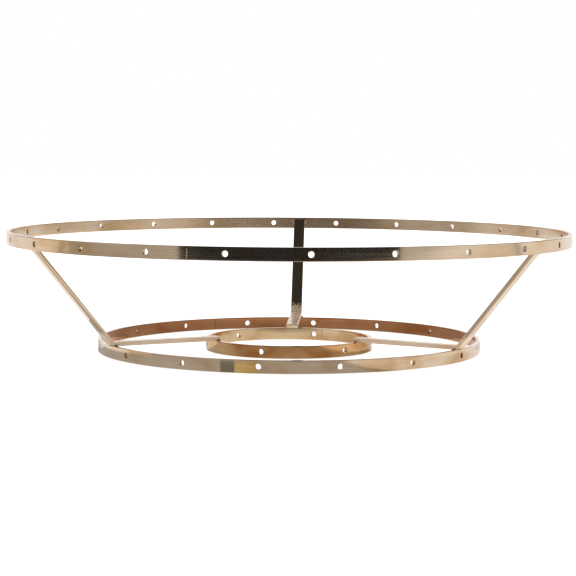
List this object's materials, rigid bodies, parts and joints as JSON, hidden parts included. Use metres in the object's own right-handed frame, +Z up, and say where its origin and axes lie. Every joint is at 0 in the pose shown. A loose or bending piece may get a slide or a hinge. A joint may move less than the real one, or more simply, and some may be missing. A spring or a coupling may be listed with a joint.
{
  "type": "wreath frame",
  "caption": "Tiered wreath frame: concentric rings of punched flat metal strip, the largest held above the others by bent struts welded to each ring.",
  "frame": {"origin": "on the frame's axis, at the level of the lower ring's lower edge", "axes": "+Z up along the rings' common axis; -Y towards the viewer of the front, with one strut at the back and one at each side"},
  "size_m": [0.4599, 0.46, 0.098],
  "materials": {
    "ring_strip": "champagne-gold plate over lengthwise brushed strip",
    "strut_strip": "champagne-gold plate over lengthwise brushed strip",
    "weld_bead": "champagne-gold plate over a rippled weld bead"
  },
  "bodies": {
    "root": {"top_ring": "ring_strip", "lower_ring": "ring_strip", "inner_ring": "ring_strip", "strut_back": "strut_strip", "strut_left": "strut_strip", "strut_right": "strut_strip", "top_weld_back": "weld_bead", "top_weld_left": "weld_bead", "top_weld_right": "weld_bead", "lower_weld_back": "weld_bead", "lower_weld_left": "weld_bead", "lower_weld_right": "weld_bead", "inner_weld_back": "weld_bead", "inner_weld_left": "weld_bead", "inner_weld_right": "weld_bead", "top_ring_seam": "weld_bead", "lower_ring_seam": "weld_bead", "inner_ring_seam": "weld_bead"}
  },
  "joints": []
}
